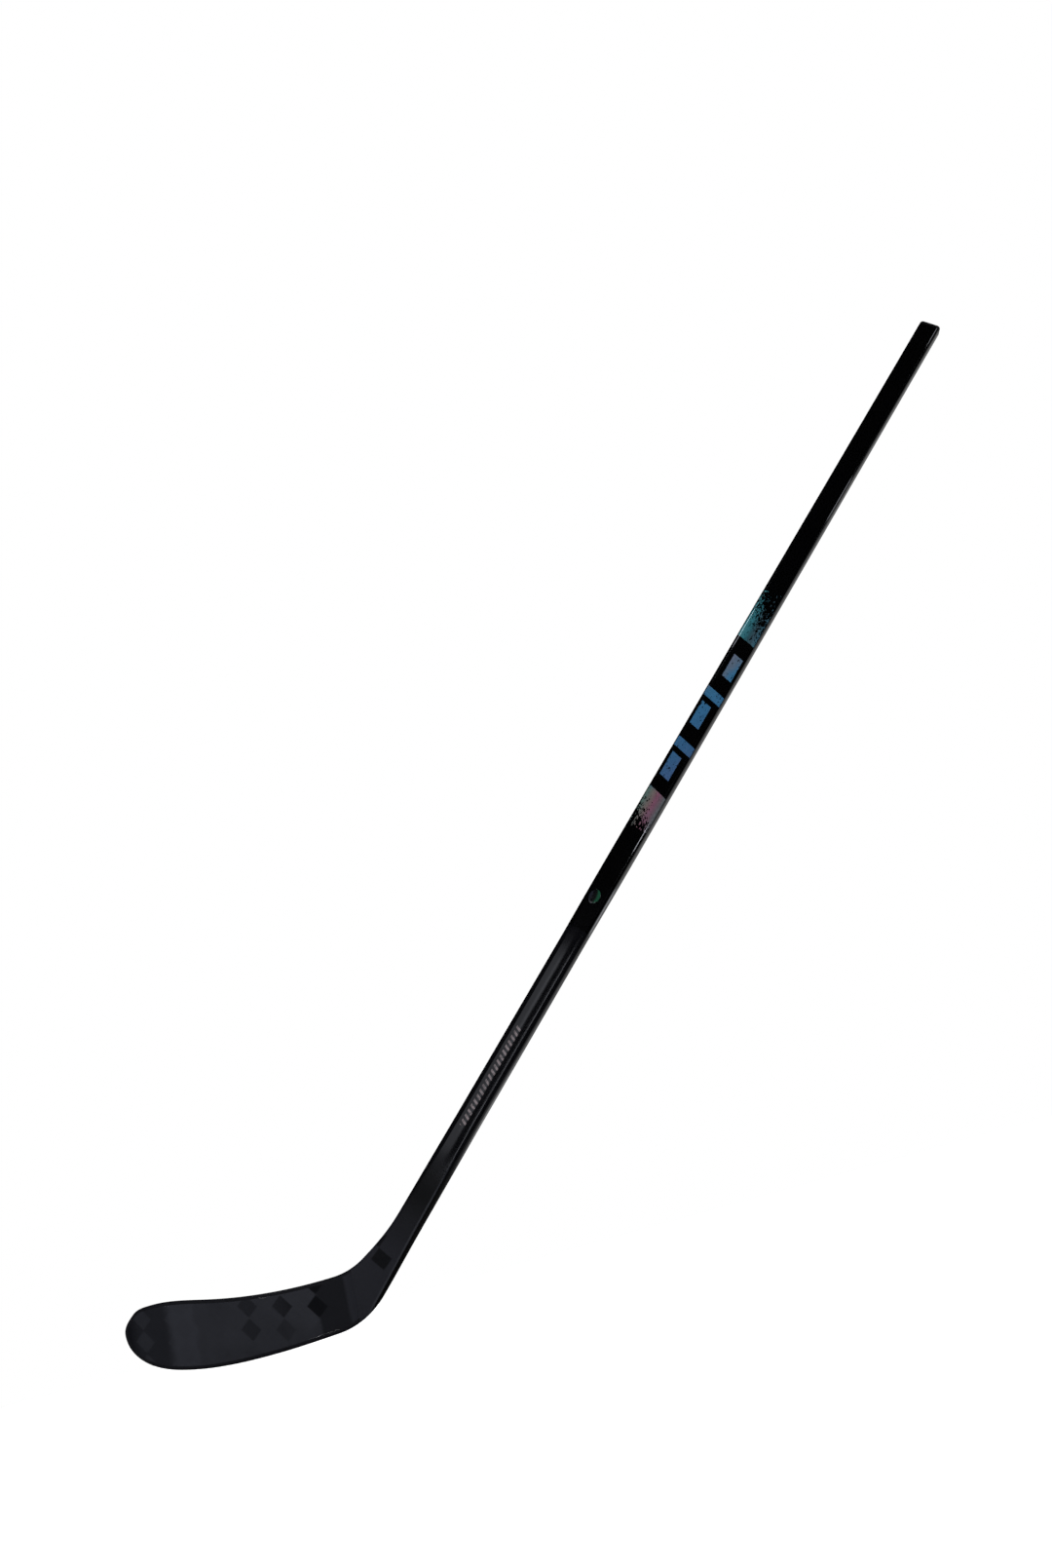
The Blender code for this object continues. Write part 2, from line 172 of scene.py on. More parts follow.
def section(half_width, half_depth, radius, crown):
    """A rounded rectangle with crowned wide faces, as (across, side) pairs once round."""
    points = []
    for corner in range(4):
        sign_w = 1 if corner in (0, 3) else -1
        sign_d = 1 if corner in (0, 1) else -1
        middle = Vector((sign_w * (half_width - radius), sign_d * (half_depth - radius)))
        for step in range(CORNER_STEPS + 1):
            angle = math.radians(90.0) * (corner + step / CORNER_STEPS)
            points.append(middle + Vector((math.cos(angle), math.sin(angle))) * radius)
        steps = WIDE_STEPS if corner in (0, 2) else NARROW_STEPS
        reach = half_width - radius if corner in (0, 2) else half_depth - radius
        along = Vector((-sign_w, 0.0)) if corner in (0, 2) else Vector((0.0, -sign_d))
        last = points[-1]
        points += [last + along * (2 * reach * i / steps) for i in range(1, steps)]
    fall = crown / half_depth
    return [(p.x, p.y * (1.0 - fall * (p.x / half_width) ** 2)) for p in points]


def face_depth(height, across):
    """How far a crowned wide face stands from the shaft's axis."""
    half_depth = shaft_depth(height) / 2
    return half_depth - shaft_crown(height) * (2 * across / shaft_width(height)) ** 2


def shaft_point(height, across, side):
    return SHAFT_FOOT + UP * height + FACE_ACROSS * across + FACE_SIDE * side


def shaft_ring(height, inset):
    half_width = shaft_width(height) / 2 - inset
    half_depth = shaft_depth(height) / 2 - inset
    pairs = section(half_width, half_depth, SHAFT_RADIUS - inset, shaft_crown(height))
    return [shaft_point(height, across, side) for across, side in pairs]


def heights_between(low, high):
    steps = max(1, math.ceil((high - low) / RING_STEP))
    return [low + (high - low) * i / steps for i in range(steps + 1)]


# ---------------------------------------------------------------- outline of the blade
def curve_stretch(start, end):
    """Points and directions on a Bezier curve that leaves start and enters end on their headings."""
    p0, p3 = Vector(start[:2]), Vector(end[:2])
    out = Vector((math.cos(math.radians(start[2])), math.sin(math.radians(start[2]))))
    into = Vector((math.cos(math.radians(end[2])), math.sin(math.radians(end[2]))))
    reach = (p3 - p0).length / (3.0 * math.cos(out.angle(into) / 4) ** 2)
    p1, p2 = p0 + out * reach, p3 - into * reach
    points = []
    for step in range(CURVE_STEPS):
        t = step / CURVE_STEPS
        s = 1.0 - t
        place = p0 * s ** 3 + p1 * (3 * s * s * t) + p2 * (3 * s * t * t) + p3 * t ** 3
        heading = (p1 - p0) * (s * s) + (p2 - p1) * (2 * s * t) + (p3 - p2) * (t * t)
        points.append((place, heading.normalized()))
    return points


def joint_corner(across, degrees):
    """Where the outline meets the shaft's edge line, across from the shaft's axis."""
    corner = UP * JOINT + ACROSS * (across - SHAFT_WIDTH / 2)
    return (corner.x, corner.z, degrees)


LOWER_ANCHORS = [joint_corner(SHAFT_WIDTH / 2, 225.0), *OUTLINE_TO_TOE]
UPPER_ANCHORS = [*OUTLINE_FROM_TOE, joint_corner(-SHAFT_WIDTH / 2, 45.0)]


def outline_path(anchors):
    """The outline through the anchors as (place, inward) pairs."""
    path = []
    for start, end in zip(anchors, anchors[1:]):
        path += curve_stretch(start, end)
    last = math.radians(anchors[-1][2])
    path.append((Vector(anchors[-1][:2]), Vector((math.cos(last), math.sin(last)))))
    return [(place, Vector((heading.y, -heading.x))) for place, heading in path]


LOWER_PATH = outline_path(LOWER_ANCHORS)
UPPER_PATH = outline_path(UPPER_ANCHORS)


def inset_path(path, inset):
    return [place + inward * inset for place, inward in path]


def place_at(path, measure, value):
    """The point of a path where measure(point) reaches value."""
    for near, far in zip(path, path[1:]):
        a, b = measure(near), measure(far)
        if min(a, b) <= value <= max(a, b) and a != b:
            return near.lerp(far, (value - a) / (b - a))
    return min(path, key=lambda point: abs(measure(point) - value))


def path_at(path, x):
    for (near, near_in), (far, far_in) in zip(path, path[1:]):
        if min(near.x, far.x) <= x <= max(near.x, far.x):
            t = (x - near.x) / (far.x - near.x)
            return near.lerp(far, t), near_in.lerp(far_in, t).normalized()
    raise ValueError("the outline doesn't reach this x")


def path_between(path, high, low):
    """The part of a path from x = high to x = low."""
    inner = [pair for pair in path if low < pair[0].x < high]
    inner.sort(key=lambda pair: -pair[0].x)
    return [path_at(path, high), *inner, path_at(path, low)]


def blade_depth(x):
    if x > MIDDLE_X:
        return blend(x, MIDDLE_X, SEAM_X, MIDDLE_DEPTH, HEEL_DEPTH)
    return blend(x, TOE_X, MIDDLE_X, TOE_DEPTH, MIDDLE_DEPTH)


def bent(x, z, side):
    """Bends a point of the flat blade: the curve towards the toe, and the opening of the face."""
    reach = max(0.0, (SEAM_X - x) / (SEAM_X - TOE_X))
    sweep = TOE_OFFSET * reach ** CURVE_POWER
    lean = (z - TWIST_HEIGHT) * math.tan(OPEN_FACE * reach)
    return HEEL + Vector((x, sweep - lean + side, z))


def hosel_ring(angle, inset, lower, upper):
    """A section in the heel's bend, where the sections fan out from one pivot. It turns about
    its middle, from the blade's plane to the shaft's."""
    pivot = Vector((SEAM_X, JOINT / math.sin(LIE) - SEAM_X))

    def swing(point):
        return math.atan2(point.x - pivot.x, pivot.y - point.y)

    foot = place_at(lower, swing, angle)
    head = place_at(upper, swing, angle)
    half_depth = blend(angle, 0.0, LIE, HEEL_DEPTH, HOSEL_DEPTH) / 2 - inset
    radius = blend(angle, 0.0, LIE, HEEL_DEPTH * 0.42, SHAFT_RADIUS) - inset
    crown = blend(angle, 0.0, LIE, 0.0, shaft_crown(JOINT))
    middle = (foot + head) / 2
    down = (foot - head).normalized()
    turn = blend(angle, 0.0, LIE, 0.0, TWIST)
    ring = []
    for across, side in section((foot - head).length / 2, half_depth, radius, crown):
        place = middle + down * (across * math.cos(turn) + side * math.sin(turn))
        ring.append(HEEL + Vector((place.x, side * math.cos(turn) - across * math.sin(turn), place.y)))
    return ring


# ---------------------------------------------------------------- meshes and pieces
def loft(rings, closed=False):
    """A solid through rings of equal length: capped at both ends, or joined back to the first."""
    bm = bmesh.new()
    loops = [[bm.verts.new(point) for point in ring] for ring in rings]
    following = loops[1:] + loops[:1] if closed else loops[1:]
    for near, far in zip(loops, following):
        for i in range(len(near)):
            j = (i + 1) % len(near)
            bm.faces.new((near[i], near[j], far[j], far[i]))
    if not closed:
        bm.faces.new(loops[0])
        bm.faces.new(loops[-1])
    return bm


def slab(front, back):
    """A solid between two grids of points of the same shape."""
    bm = bmesh.new()
    near = [[bm.verts.new(point) for point in row] for row in front]
    far = [[bm.verts.new(point) for point in row] for row in back]
    for grid in (near, far):
        for row, following in zip(grid, grid[1:]):
            for i in range(len(row) - 1):
                bm.faces.new((row[i], row[i + 1], following[i + 1], following[i]))
    last = len(near[0]) - 1
    rim = [(0, j) for j in range(last)]
    rim += [(i, last) for i in range(len(near) - 1)]
    rim += [(len(near) - 1, j) for j in range(last, 0, -1)]
    rim += [(i, 0) for i in range(len(near) - 1, 0, -1)]
    for (a, b), (c, d) in zip(rim, rim[1:] + rim[:1]):
        bm.faces.new((near[a][b], near[c][d], far[c][d], far[a][b]))
    return bm


def piece(name, bm, finish, slot, *nodes):
    bmesh.ops.recalc_face_normals(bm, faces=bm.faces)
    mesh = bpy.data.meshes.new(name)
    bm.to_mesh(mesh)
    bm.free()
    mesh.shade_smooth()
    mesh.set_sharp_from_angle(angle=math.radians(35.0))
    mesh.materials.append(finish)
    made = bpy.data.objects.new(name, mesh)
    bpy.context.scene.collection.objects.link(made)
    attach(made, "root")
    if nodes:
        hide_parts(*nodes)
    return made


# ---------------------------------------------------------------- material nodes
class Graph:
    """Short calls for the nodes of a material or of the world."""

    def __init__(self, tree):
        self.nodes, self.links = tree.nodes, tree.links

    def feed(self, socket, value):
        if isinstance(value, bpy.types.NodeSocket):
            self.links.new(value, socket)
        elif value is not None:
            socket.default_value = value

    def math(self, operation, *values):
        node = self.nodes.new("ShaderNodeMath")
        node.operation = operation
        for socket, value in zip(node.inputs, values):
            self.feed(socket, value)
        return node.outputs[0]

    def dot(self, vector, axis):
        node = self.nodes.new("ShaderNodeVectorMath")
        node.operation = "DOT_PRODUCT"
        self.feed(node.inputs[0], vector)
        node.inputs[1].default_value = axis
        return node.outputs["Value"]

    def point(self, x, y, z=0.0):
        node = self.nodes.new("ShaderNodeCombineXYZ")
        for socket, value in zip(node.inputs, (x, y, z)):
            self.feed(socket, value)
        return node.outputs[0]

    def step(self, value, low, high, start=0.0, end=1.0):
        """Goes smoothly from start to end as value goes from low to high."""
        node = self.nodes.new("ShaderNodeMapRange")
        node.interpolation_type = "SMOOTHSTEP"
        flip = low > high
        limits = (high, low, end, start) if flip else (low, high, start, end)
        for socket, number in zip(node.inputs, (value, *limits)):
            self.feed(socket, number)
        return node.outputs["Result"]

    def inside(self, value, low, high, soft):
        """1 between low and high, with soft ends."""
        rising = self.step(value, low - soft, low + soft)
        falling = self.step(value, high + soft, high - soft)
        return self.math("MULTIPLY", rising, falling)

    def noise(self, vector, scale, detail=2.0, rough=0.5):
        node = self.nodes.new("ShaderNodeTexNoise")
        self.feed(node.inputs["Vector"], vector)
        node.inputs["Scale"].default_value = scale
        node.inputs["Detail"].default_value = detail
        node.inputs["Roughness"].default_value = rough
        return node.outputs[0]

    def cells(self, vector, scale, output="Distance"):
        node = self.nodes.new("ShaderNodeTexVoronoi")
        self.feed(node.inputs["Vector"], vector)
        node.inputs["Scale"].default_value = scale
        return node.outputs[output]

    def chance(self, vector):
        node = self.nodes.new("ShaderNodeTexWhiteNoise")
        self.feed(node.inputs["Vector"], vector)
        return node.outputs["Value"]

    def ramp(self, factor, stops):
        node = self.nodes.new("ShaderNodeValToRGB")
        self.feed(node.inputs[0], factor)
        elements = node.color_ramp.elements
        while len(elements) < len(stops):
            elements.new(0.5)
        for element, (position, colour) in zip(elements, stops):
            element.position = position
            element.color = (*colour, 1.0)
        return node.outputs["Color"]

    def mix(self, factor, first, second):
        node = self.nodes.new("ShaderNodeMix")
        node.data_type = "RGBA"
        self.feed(node.inputs["Factor"], factor)
        for name, value in (("A", first), ("B", second)):
            socket = [s for s in node.inputs if s.name == name and s.type == "RGBA"][0]
            self.feed(socket, (*value, 1.0) if isinstance(value, tuple) else value)
        return [s for s in node.outputs if s.type == "RGBA"][0]

    def ray(self, kind):
        return self.nodes.new("ShaderNodeLightPath").outputs[f"Is {kind} Ray"]


class Finish(Graph):
    """A Principled material in the stick's own directions."""

    def __init__(self, name, **constants):
        self.material = bpy.data.materials.new(name)
        self.material.use_nodes = True
        super().__init__(self.material.node_tree)
        self.shader = self.nodes["Principled BSDF"]
        for key, value in constants.items():
            self.shader.inputs[key.replace("_", " ")].default_value = value
        self.place = self.nodes.new("ShaderNodeTexCoord").outputs["Object"]

    def drive(self, name, value):
        self.feed(self.shader.inputs[name], value)

    def reach(self, axis, origin=HEEL):
        """The place's distance along an axis from an origin."""
        return self.math("SUBTRACT", self.dot(self.place, axis), origin.dot(Vector(axis)))

    def along(self):
        return self.reach(UP)

    def across(self):
        return self.reach(FACE_ACROSS, SHAFT_FOOT)

    def side(self):
        return self.reach(FACE_SIDE, SHAFT_FOOT)

    def bump(self, height, distance, strength=1.0):
        node = self.nodes.new("ShaderNodeBump")
        node.inputs["Strength"].default_value = strength
        node.inputs["Distance"].default_value = distance
        self.feed(node.inputs["Height"], height)
        self.feed(self.shader.inputs["Normal"], node.outputs["Normal"])


def fibres(finish, angle, spacing, stretch=40.0):
    """Fine threads that lie at an angle in the blade's plane, as a value about 0.5."""
    along = finish.reach((math.cos(angle), 0.0, math.sin(angle)))
    off = finish.reach((-math.sin(angle), 0.0, math.cos(angle)))
    lined = finish.point(finish.math("DIVIDE", along, stretch), off, finish.side())
    return finish.noise(lined, 1.0 / spacing, 3.0, 0.65)


# ---------------------------------------------------------------- materials
GLOSS_DARK = (0.0002, 0.0002, 0.0003)
GLOSS_LIGHT = (0.0008, 0.0008, 0.0011)


def gloss_colour(finish):
    """Clear lacquer over black: hardly any colour, with the threads just visible."""
    return finish.mix(fibres(finish, LIE, 0.0006), GLOSS_DARK, GLOSS_LIGHT)


def gloss_surface(finish):
    """Lacquer that is even, with slight orange peel and light rubbing."""
    rubbed = finish.noise(finish.place, 45.0, 4.0, 0.6)
    finish.drive("Roughness", finish.step(rubbed, 0.3, 0.8, 0.14, 0.26))
    finish.bump(finish.noise(finish.place, 160.0, 2.0), 0.00002, 0.10)


def gloss_finish(name):
    finish = Finish(name, Specular_IOR_Level=0.1, Coat_Weight=1.0, Coat_Roughness=0.04, Coat_IOR=1.5)
    finish.drive("Base Color", gloss_colour(finish))
    gloss_surface(finish)
    return finish.material


# the foil's graphic, as heights on the shaft's middle line
GRAPHIC_TOP = 0.940
GRAPHIC_FOOT = 0.700
GRAPHIC_PERIOD = 0.080
GRAPHIC_SLANT = math.tan(math.radians(18.0))
GRAPHIC_SOFT = 0.0002
DASH = (0.025, 0.060)
DASH_HALF_WIDTH = 0.0072
DASH_MIDDLES = (0.0030, -0.0025)    # in the first group, and in the others
BAND = (0.003, 0.017)
SPECK = 0.0010
SPECK_DRAWN = 0.45          # how much the specks are squeezed along the shaft's length in their pattern
STREAK_PALE = (0.150, 0.160, 0.230)
STREAK_DEEP = (0.014, 0.105, 0.215)


def foil_tint(finish, along, across):
    """Teal to slate at the top, blue down its length, then grey-green, mauve and grey at its foot."""
    swirl = finish.math("MULTIPLY_ADD", finish.noise(finish.place, 28.0, 2.0), 0.16, -0.08)
    down = finish.math("DIVIDE", finish.math("SUBTRACT", FOIL_TOP, along), FOIL_TOP - FOIL_FOOT)
    drift = finish.math("MULTIPLY_ADD", across, 4.5, swirl)
    length_tint = finish.ramp(finish.math("ADD", down, drift), [
        (0.24, (0.150, 0.160, 0.230)),
        (0.33, (0.100, 0.150, 0.220)),
        (0.38, (0.042, 0.155, 0.290)),
        (0.50, (0.036, 0.145, 0.295)),
        (0.66, (0.038, 0.120, 0.255)),
        (0.80, (0.050, 0.108, 0.240)),
    ])
    rightward = finish.math("ADD", finish.math("MULTIPLY_ADD", across, 1.0 / SHAFT_WIDTH, 0.5), swirl)
    top_tint = finish.ramp(rightward, [
        (0.12, (0.056, 0.215, 0.245)),
        (0.32, (0.032, 0.165, 0.205)),
        (0.52, (0.026, 0.085, 0.110)),
        (0.68, (0.042, 0.075, 0.095)),
        (0.84, (0.040, 0.110, 0.155)),
    ])
    foot_tint = finish.ramp(rightward, [
        (0.10, (0.095, 0.155, 0.135)),
        (0.38, (0.170, 0.130, 0.130)),
        (0.58, (0.200, 0.080, 0.130)),
        (0.90, (0.100, 0.110, 0.120)),
    ])
    tint = finish.mix(finish.step(along, GRAPHIC_FOOT + 0.012, GRAPHIC_FOOT - 0.002), length_tint, foot_tint)
    tint = finish.mix(finish.step(along, GRAPHIC_TOP - 0.012, GRAPHIC_TOP - 0.006), tint, top_tint)
    drawn = finish.point(across, finish.math("MULTIPLY", along, 0.05), finish.side())
    streak = finish.noise(drawn, 380.0, 3.0, 0.6)
    tint = finish.mix(finish.step(streak, 0.55, 0.80, 0.0, 0.30), tint, STREAK_PALE)
    tint = finish.mix(finish.step(streak, 0.45, 0.20, 0.0, 0.45), tint, STREAK_DEEP)
    flake = finish.chance(finish.cells(finish.place, 1500.0, "Position"))
    return finish.mix(finish.math("MULTIPLY", flake, 0.35), tint, GLOSS_LIGHT)


def foil_marks(finish, along, across):
    """1 where the foil shows between plain slanted bars, 0 on the bars."""
    slanted = finish.math("MULTIPLY_ADD", across, GRAPHIC_SLANT, along)
    down = finish.math("SUBTRACT", GRAPHIC_TOP, slanted)
    turn = finish.math("FLOORED_MODULO", down, GRAPHIC_PERIOD)
    later = finish.math("GREATER_THAN", down, GRAPHIC_PERIOD)
    middle = finish.step(later, 0.0, 1.0, *DASH_MIDDLES)
    offset = finish.math("ABSOLUTE", finish.math("SUBTRACT", across, middle))
    narrow = finish.step(offset, DASH_HALF_WIDTH + GRAPHIC_SOFT, DASH_HALF_WIDTH - GRAPHIC_SOFT)
    dash = finish.math("MULTIPLY", finish.inside(turn, *DASH, GRAPHIC_SOFT), narrow)
    band = finish.math("MULTIPLY", finish.inside(turn, *BAND, GRAPHIC_SOFT), later)
    marks = finish.math("MAXIMUM", dash, band)
    above = finish.step(down, GRAPHIC_SOFT, -GRAPHIC_SOFT)
    below = finish.step(slanted, GRAPHIC_FOOT + GRAPHIC_SOFT, GRAPHIC_FOOT - GRAPHIC_SOFT)
    return finish.math("MAXIMUM", marks, finish.math("MAXIMUM", above, below))


def foil_cover(finish, along, across):
    """1 where the foil is whole. It fades out in specks at both ends."""
    drawn = finish.point(across, finish.math("MULTIPLY", along, SPECK_DRAWN), finish.side())
    grain = finish.math("MULTIPLY_ADD", finish.noise(drawn, 230.0, 4.0, 0.65), 1.1, -0.55)
    upper = finish.step(finish.math("MULTIPLY_ADD", across, 1.6, along), 1.015, 0.935)
    lower = finish.step(finish.math("MULTIPLY_ADD", across, 1.2, along), 0.640, 0.685)
    cover = finish.math("ADD", finish.math("MULTIPLY", upper, lower), grain)
    speck = finish.chance(finish.cells(drawn, 1.0 / SPECK, "Position"))
    return finish.math("LESS_THAN", speck, cover)


def foil_finish():
    """Colour-shifting foil under the lacquer, on the wide faces only."""
    finish = Finish(
        "colour_shift_foil",
        Metallic=0.15,
        Specular_IOR_Level=0.1,
        Coat_Weight=1.0,
        Coat_Roughness=0.04,
        Coat_IOR=1.5,
    )
    along, across = finish.along(), finish.across()
    face = finish.step(finish.math("ABSOLUTE", finish.side()), 0.0080, 0.0094)
    shown = finish.math("MULTIPLY", foil_marks(finish, along, across), foil_cover(finish, along, across))
    amount = finish.math("MULTIPLY", shown, face)
    finish.drive("Base Color", finish.mix(amount, gloss_colour(finish), foil_tint(finish, along, across)))
    gloss_surface(finish)
    return finish.material


# the spread tow's checks on the blade: a lattice of rhombs, measured from the heel
CHECK_ORIGIN = (-0.0823, 0.0451)
CHECK_ACROSS = (0.0396, -0.0098)
CHECK_DOWN = (0.0003, -0.0245)
CHECK_HALF = 0.0120
TOE_CHECK_ORIGIN = (-0.2511, 0.0724)
CHECK_RIM = (1.05, 0.93)            # how far out a check fades, where 1 is its edge
FACE_CHECKS = (-0.137, -0.026)      # where the blade's face has its checks
FACE_LAST_ROW = (1.6, 1.4)
FACE_LOW_ROW = (0.4, 0.6)           # from this row down, the checks fade towards the heel
FACE_LOW_FADE = 0.85
HEEL_CHECKS = (0.018, 0.052)
HEEL_LAST_ROW = (-1.4, -1.6)
CHECKS_SOFT = 0.004
CHECK_GHOST = 0.06
PATCH_COLUMNS = (1.0, 1.85)         # the darker patch between the last check and the hosel's seam
PATCH_TOP = (-1.70, -1.55)
PATCH_SOFT = 0.06
PATCH_DARK = 0.74
TOE_START = (-0.210, -0.226)        # the toe is darker from here on, apart from its pale facets
TOE_TIP = (-0.255, -0.272)
TOE_FACET_DARK, TOE_DARK, TOE_TIP_DARK = 0.24, 0.58, 0.35
PAINTED_SHEEN_BAND = (-0.206, -0.180)          # painted sheen: the pale band across the blade towards the toe
PAINTED_SHEEN_SOFT = 0.006
PAINTED_SHEEN_RAGGED = 0.016
HEEL_TONE = (-0.022, 0.000)         # where the face's tone turns into the heel's
MATTE_DARK = (0.0027, 0.0030, 0.0064)
MATTE_BLACK = (0.0010, 0.0010, 0.0014)
MATTE_HEEL = (0.0104, 0.0114, 0.0196)
MATTE_SHAFT = (0.0062, 0.0068, 0.0126)
MATTE_MIDDLE = (0.0140, 0.0151, 0.0216)
MATTE_LIGHT = (0.0200, 0.0216, 0.0304)


def check_lattice(finish, origin):
    """How many checks each place is across and down from an origin, and its reach from the middle
    of the nearest check, which ends at 1."""
    right = finish.math("SUBTRACT", finish.reach((1.0, 0.0, 0.0)), origin[0])
    up = finish.math("SUBTRACT", finish.reach((0.0, 0.0, 1.0)), origin[1])
    (ax, az), (dx, dz) = CHECK_ACROSS, CHECK_DOWN
    scale = ax * dz - az * dx
    columns = finish.math("MULTIPLY_ADD", up, -dx / scale, finish.math("MULTIPLY", right, dz / scale))
    rows = finish.math("MULTIPLY_ADD", up, ax / scale, finish.math("MULTIPLY", right, -az / scale))
    reach = 0.0
    for count, spacing in ((columns, math.hypot(ax, az)), (rows, math.hypot(dx, dz))):
        off = finish.math("ABSOLUTE", finish.math("SUBTRACT", count, finish.math("ROUND", count)))
        reach = finish.math("MULTIPLY_ADD", off, spacing / CHECK_HALF, reach)
    return columns, rows, reach


def tow_checks(finish):
    """How far each place goes from the tow's own tone to the darkest one, from 0 to 1."""
    x = finish.reach((1.0, 0.0, 0.0))
    columns, rows, reach = check_lattice(finish, CHECK_ORIGIN)
    face = finish.inside(x, *FACE_CHECKS, CHECKS_SOFT)
    face = finish.math("MULTIPLY", face, finish.step(rows, *FACE_LAST_ROW))
    face = finish.math("MULTIPLY", face, finish.step(x, -0.105, -0.045, 0.50, 1.0))
    fading = finish.math("MULTIPLY", finish.step(rows, *FACE_LOW_ROW), finish.step(x, -0.115, -0.055))
    face = finish.math("MULTIPLY", face, finish.math("MULTIPLY_ADD", fading, -FACE_LOW_FADE, 1.0))
    heel = finish.inside(x, *HEEL_CHECKS, CHECKS_SOFT)
    heel = finish.math("MULTIPLY", heel, finish.step(rows, *HEEL_LAST_ROW))
    strength = finish.math("MAXIMUM", finish.math("MAXIMUM", face, heel), CHECK_GHOST)
    check = finish.math("MULTIPLY", finish.step(reach, *CHECK_RIM), strength)
    beside = finish.inside(columns, *PATCH_COLUMNS, PATCH_SOFT)
    patch = finish.math("MULTIPLY", beside, finish.step(rows, *PATCH_TOP))
    check = finish.math("MAXIMUM", check, finish.math("MULTIPLY", patch, PATCH_DARK))
    toe_reach = check_lattice(finish, TOE_CHECK_ORIGIN)[2]
    facet = finish.step(toe_reach, CHECK_RIM[1], CHECK_RIM[0], TOE_FACET_DARK, TOE_DARK)
    tip = finish.math("MULTIPLY_ADD", finish.step(x, *TOE_TIP), TOE_TIP_DARK, facet)
    return finish.math("MAXIMUM", check, finish.math("MULTIPLY", finish.step(x, *TOE_START), tip))


def blade_colour(finish):
    """Matte carbon: charcoal tow with darker checks and fine threads, and a painted sheen as a pale band
    towards the toe.
    """
    check = tow_checks(finish)
    first = fibres(finish, math.radians(45.0), 0.0007)
    second = fibres(finish, math.radians(-45.0), 0.0007)
    threads = finish.math("MULTIPLY", finish.math("ADD", first, second), 0.5)
    mottle = finish.noise(finish.place, 22.0, 3.0)
    tone = finish.math("MULTIPLY_ADD", mottle, 0.5, finish.math("MULTIPLY", threads, 0.6))
    x = finish.reach((1.0, 0.0, 0.0))
    # painted sheen: a pale band with ragged edges across the blade, which lightens the tone
    ragged = finish.math("MULTIPLY_ADD", finish.noise(finish.place, 90.0, 3.0), PAINTED_SHEEN_RAGGED, x)
    painted_sheen = finish.inside(ragged, *PAINTED_SHEEN_BAND, PAINTED_SHEEN_SOFT)
    tone = finish.math("MULTIPLY_ADD", painted_sheen, 0.56, tone)
    base = finish.mix(finish.step(tone, 0.30, 0.80), MATTE_MIDDLE, MATTE_LIGHT)
    base = finish.mix(finish.step(x, *HEEL_TONE), base, MATTE_HEEL)
    return finish.mix(check, base, MATTE_DARK), threads, check


def blade_finish():
    finish = Finish("matte_tow_carbon", Specular_IOR_Level=0.35)
    colour, threads, check = blade_colour(finish)
    finish.drive("Base Color", colour)
    worn = finish.math("MULTIPLY_ADD", threads, 0.12, 0.44)
    finish.drive("Roughness", finish.math("MULTIPLY_ADD", check, -0.06, worn))
    finish.bump(threads, 0.00006, 0.35)
    return finish.material


def edge_finish():
    """The edge plies: nearly black, rubbed along the outline."""
    finish = Finish("edge_ply_carbon", Specular_IOR_Level=0.25)
    rub = finish.noise(finish.place, 160.0, 4.0, 0.65)
    finish.drive("Base Color", finish.mix(rub, (0.0040, 0.0043, 0.0065), (0.0095, 0.0100, 0.0145)))
    finish.drive("Roughness", finish.step(rub, 0.2, 0.8, 0.36, 0.52))
    finish.bump(rub, 0.00004, 0.3)
    return finish.material


# plain slanted ticks on the lower shaft
TICK_FOOT = 0.236
TICK_TOP = 0.366
TICK_PERIOD = 0.0064
TICK_FILL = 0.46
TICK_SLANT = 0.45
TICK_MIDDLE = -0.0016
TICK_HALF = 0.0032
TICK_COLOUR = (0.150, 0.125, 0.130)


def printed_ticks(finish, along, across):
    slanted = finish.math("MULTIPLY_ADD", across, TICK_SLANT, along)
    turn = finish.math("FRACT", finish.math("DIVIDE", slanted, TICK_PERIOD))
    tick = finish.inside(turn, 0.5 - TICK_FILL / 2, 0.5 + TICK_FILL / 2, 0.02)
    row = finish.inside(across, TICK_MIDDLE - TICK_HALF, TICK_MIDDLE + TICK_HALF, 0.0001)
    span = finish.inside(along, TICK_FOOT, TICK_TOP, 0.0001)
    printed = finish.math("MULTIPLY", finish.math("MULTIPLY", tick, row), span)
    backhand = finish.step(finish.side(), 0.0, -0.004)
    worn = finish.step(finish.noise(finish.place, 240.0, 2.0), 0.2, 0.6)
    return finish.math("MULTIPLY", finish.math("MULTIPLY", printed, backhand), worn)


# heights along the shaft between which its finish changes
SATIN_FOOT = (0.215, 0.140)
SHAFT_TONE = (0.070, 0.120)
BLACK_TONE = (0.110, 0.155)
# a painted highlight: the pale line along the lower corner of the matte part, which drifts inwards as it
# rises, with painted shade in near black on the narrow face beyond it
CORNER_PLACE = 0.0131
CORNER_DRIFT = 0.0167
CORNER_HALF = 0.0009
CORNER_SOFT = 0.0004
PAINTED_SHADE_SIDE = (0.0008, 0.0016)
CORNER_FOOT = (0.004, 0.030)


